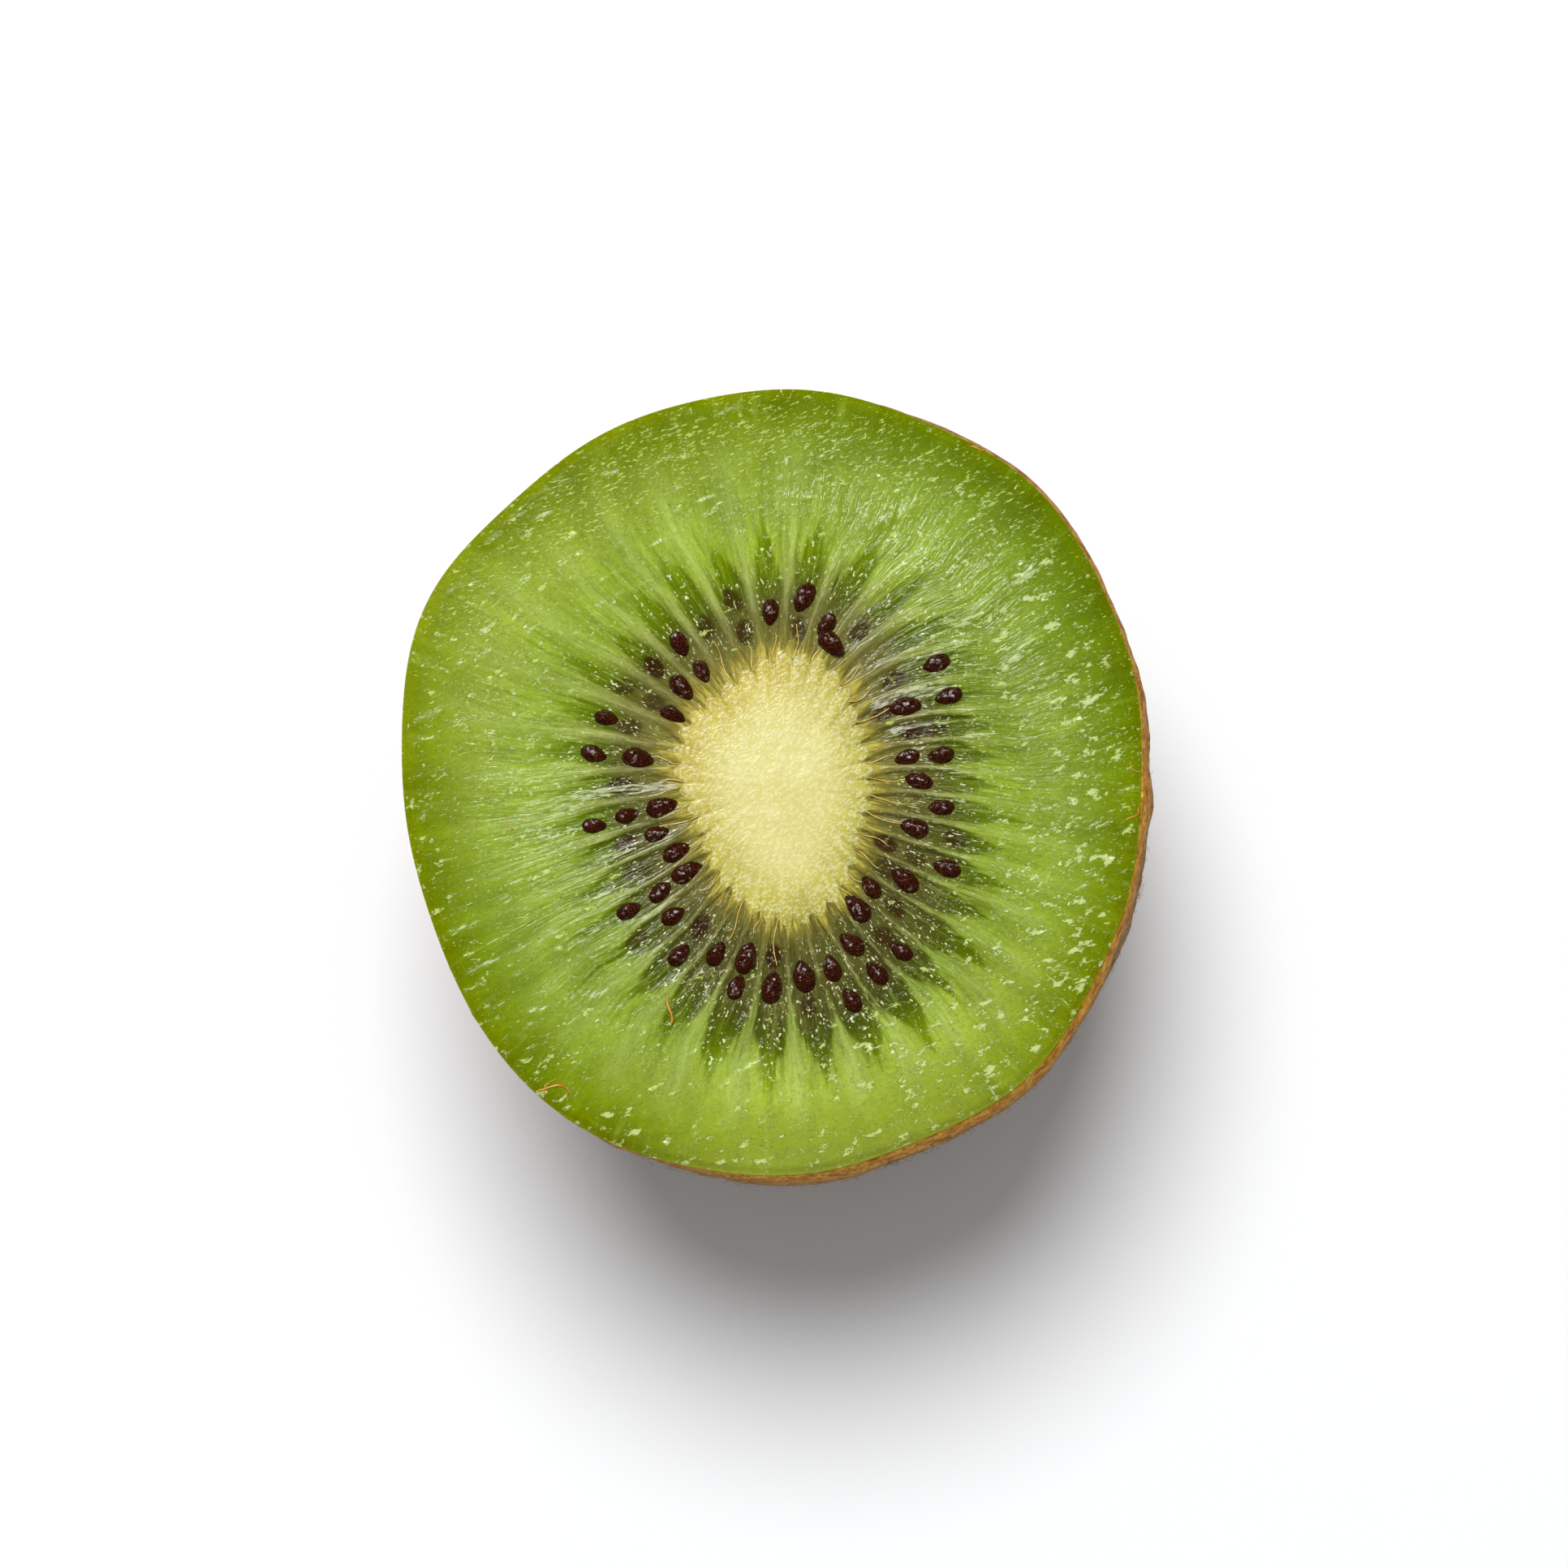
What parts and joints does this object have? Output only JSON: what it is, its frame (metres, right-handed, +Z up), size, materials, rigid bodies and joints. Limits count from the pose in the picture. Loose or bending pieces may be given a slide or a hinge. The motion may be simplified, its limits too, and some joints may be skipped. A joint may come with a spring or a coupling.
{
  "type": "kiwi fruit half",
  "caption": "Half of a green kiwi fruit cut across its middle, with a pale core, a ring of dark seeds and fuzzy brown skin, standing with the cut face up",
  "frame": {"origin": "middle of the footprint, on the level of the small flat spot that the fruit stands on", "axes": "+Z up, out of the cut face; -Y is the fruit's front, and the cut is a little longer along Y than along X"},
  "size_m": [0.05, 0.0526, 0.0335],
  "materials": {
    "flesh": "wet",
    "core": "moist"
  },
  "bodies": {
    "root": {"flesh": "flesh", "core": "core"}
  },
  "joints": []
}
